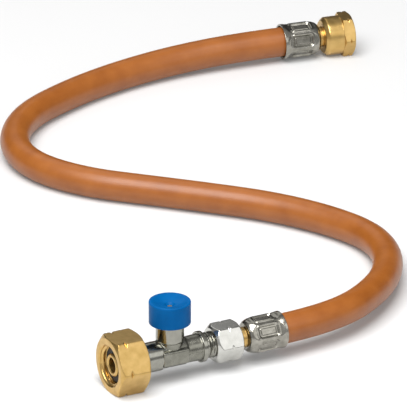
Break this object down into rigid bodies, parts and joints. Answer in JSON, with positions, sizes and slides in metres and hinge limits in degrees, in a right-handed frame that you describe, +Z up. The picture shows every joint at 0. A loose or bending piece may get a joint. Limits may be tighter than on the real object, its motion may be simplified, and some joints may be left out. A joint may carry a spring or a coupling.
{
  "type": "hose rupture valve with gas hose",
  "caption": "Gas hose line: union nut inlet, T-shaped excess flow valve with push-to-reset button, crimped rubber hose and a second union nut.",
  "frame": {"origin": "bottom centre of the valve and near hose fitting, on the surface they lie on, measured without the hose and its far fitting", "axes": "+X along the flow axis from the inlet union nut to the hose, +Z up along the reset button's axis"},
  "size_m": [0.3247, 0.3802, 0.045],
  "materials": {
    "yellow_brass": "machined, bright",
    "black_rubber": "matt",
    "nickel_plate": "nickel plated forging, satin",
    "zinc_steel": "zinc plated, satin",
    "spring_steel": "drawn wire",
    "blue_plastic": "moulded, semi-gloss",
    "white_plastic": "moulded",
    "orange_rubber": "extruded, matt"
  },
  "bodies": {
    "hose_line": {"valve_body": "nickel_plate", "inlet_nozzle": "yellow_brass", "inlet_seal_ring": "black_rubber", "nozzle_o_ring": "black_rubber", "inlet_strainer": "spring_steel", "spring_spider": "yellow_brass", "poppet_spring": "spring_steel", "seat_ring": "yellow_brass", "button_gland": "yellow_brass", "gland_o_ring": "black_rubber", "pin_o_ring": "black_rubber", "button_spring": "spring_steel", "outlet_union_nut": "zinc_steel", "near_hose_nipple": "yellow_brass", "nipple_o_ring": "black_rubber", "near_ferrule": "zinc_steel", "hose": "orange_rubber", "far_ferrule": "zinc_steel", "far_hose_nipple": "yellow_brass"},
    "inlet_nut": {"inlet_union_nut": "yellow_brass"},
    "far_nut": {"far_union_nut": "yellow_brass"},
    "button": {"reset_button_cap": "blue_plastic", "button_pin": "yellow_brass", "pin_retaining_clip": "spring_steel"},
    "poppet_body": {"poppet": "yellow_brass", "poppet_seal": "black_rubber", "poppet_guide": "white_plastic"}
  },
  "joints": [
    {"name": "inlet_nut_spin", "type": "hinge", "parent": "hose_line", "child": "inlet_nut", "pos_m": [-0.043, 0, 0.015], "axis": [-1, 0, 0], "continuous": true},
    {"name": "far_nut_spin", "type": "hinge", "parent": "hose_line", "child": "far_nut", "pos_m": [0.2605, 0.3431, 0.011], "axis": [0.9871, -0.1599, 0], "continuous": true},
    {"name": "button_press", "type": "slide", "parent": "hose_line", "child": "button", "axis": [0, 0, -1], "range_m": [0, 0.003], "stiffness_N_per_m": 900, "springref_m": -0.002, "deforming": ["button_spring"]},
    {"name": "poppet_slide", "type": "slide", "parent": "hose_line", "child": "poppet_body", "axis": [1, 0, 0], "range_m": [0, 0.00245], "stiffness_N_per_m": 150, "springref_m": -0.002, "deforming": ["poppet_spring"]}
  ]
}
